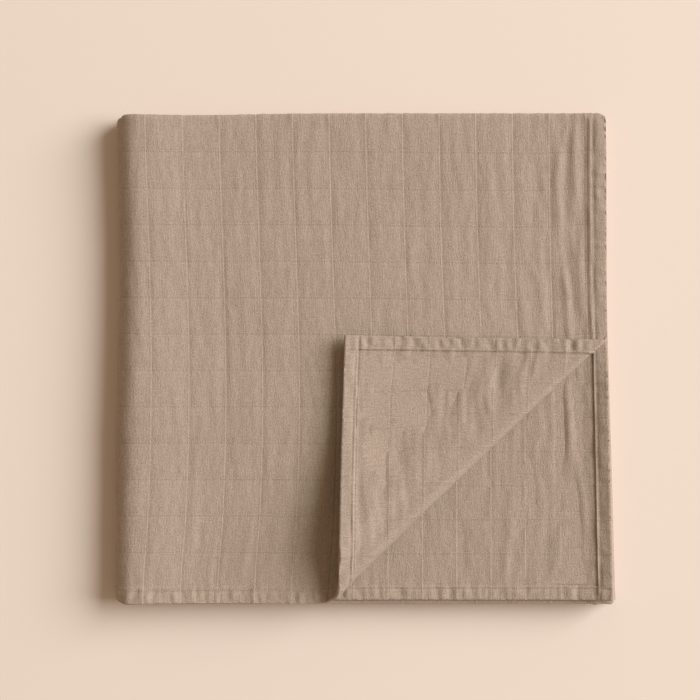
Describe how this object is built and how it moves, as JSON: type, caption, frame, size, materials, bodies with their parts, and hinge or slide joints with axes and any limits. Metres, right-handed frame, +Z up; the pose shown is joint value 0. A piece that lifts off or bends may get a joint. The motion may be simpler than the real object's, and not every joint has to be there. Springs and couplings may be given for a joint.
{
  "type": "folded swaddle blanket",
  "caption": "Double-muslin swaddle blanket folded to a square pile, with one corner of its top layer turned back.",
  "frame": {"origin": "centre of the pile's box, on the surface that it rests on", "axes": "+Z up through the pile, +X towards the side where the hems of the top layers lie, +Y towards the folded edge opposite the bottom hem"},
  "size_m": [0.304, 0.2992, 0.0381],
  "materials": {
    "muslin": "matt washed cotton gauze"
  },
  "bodies": {
    "root": {"blanket": "muslin"}
  },
  "joints": []
}
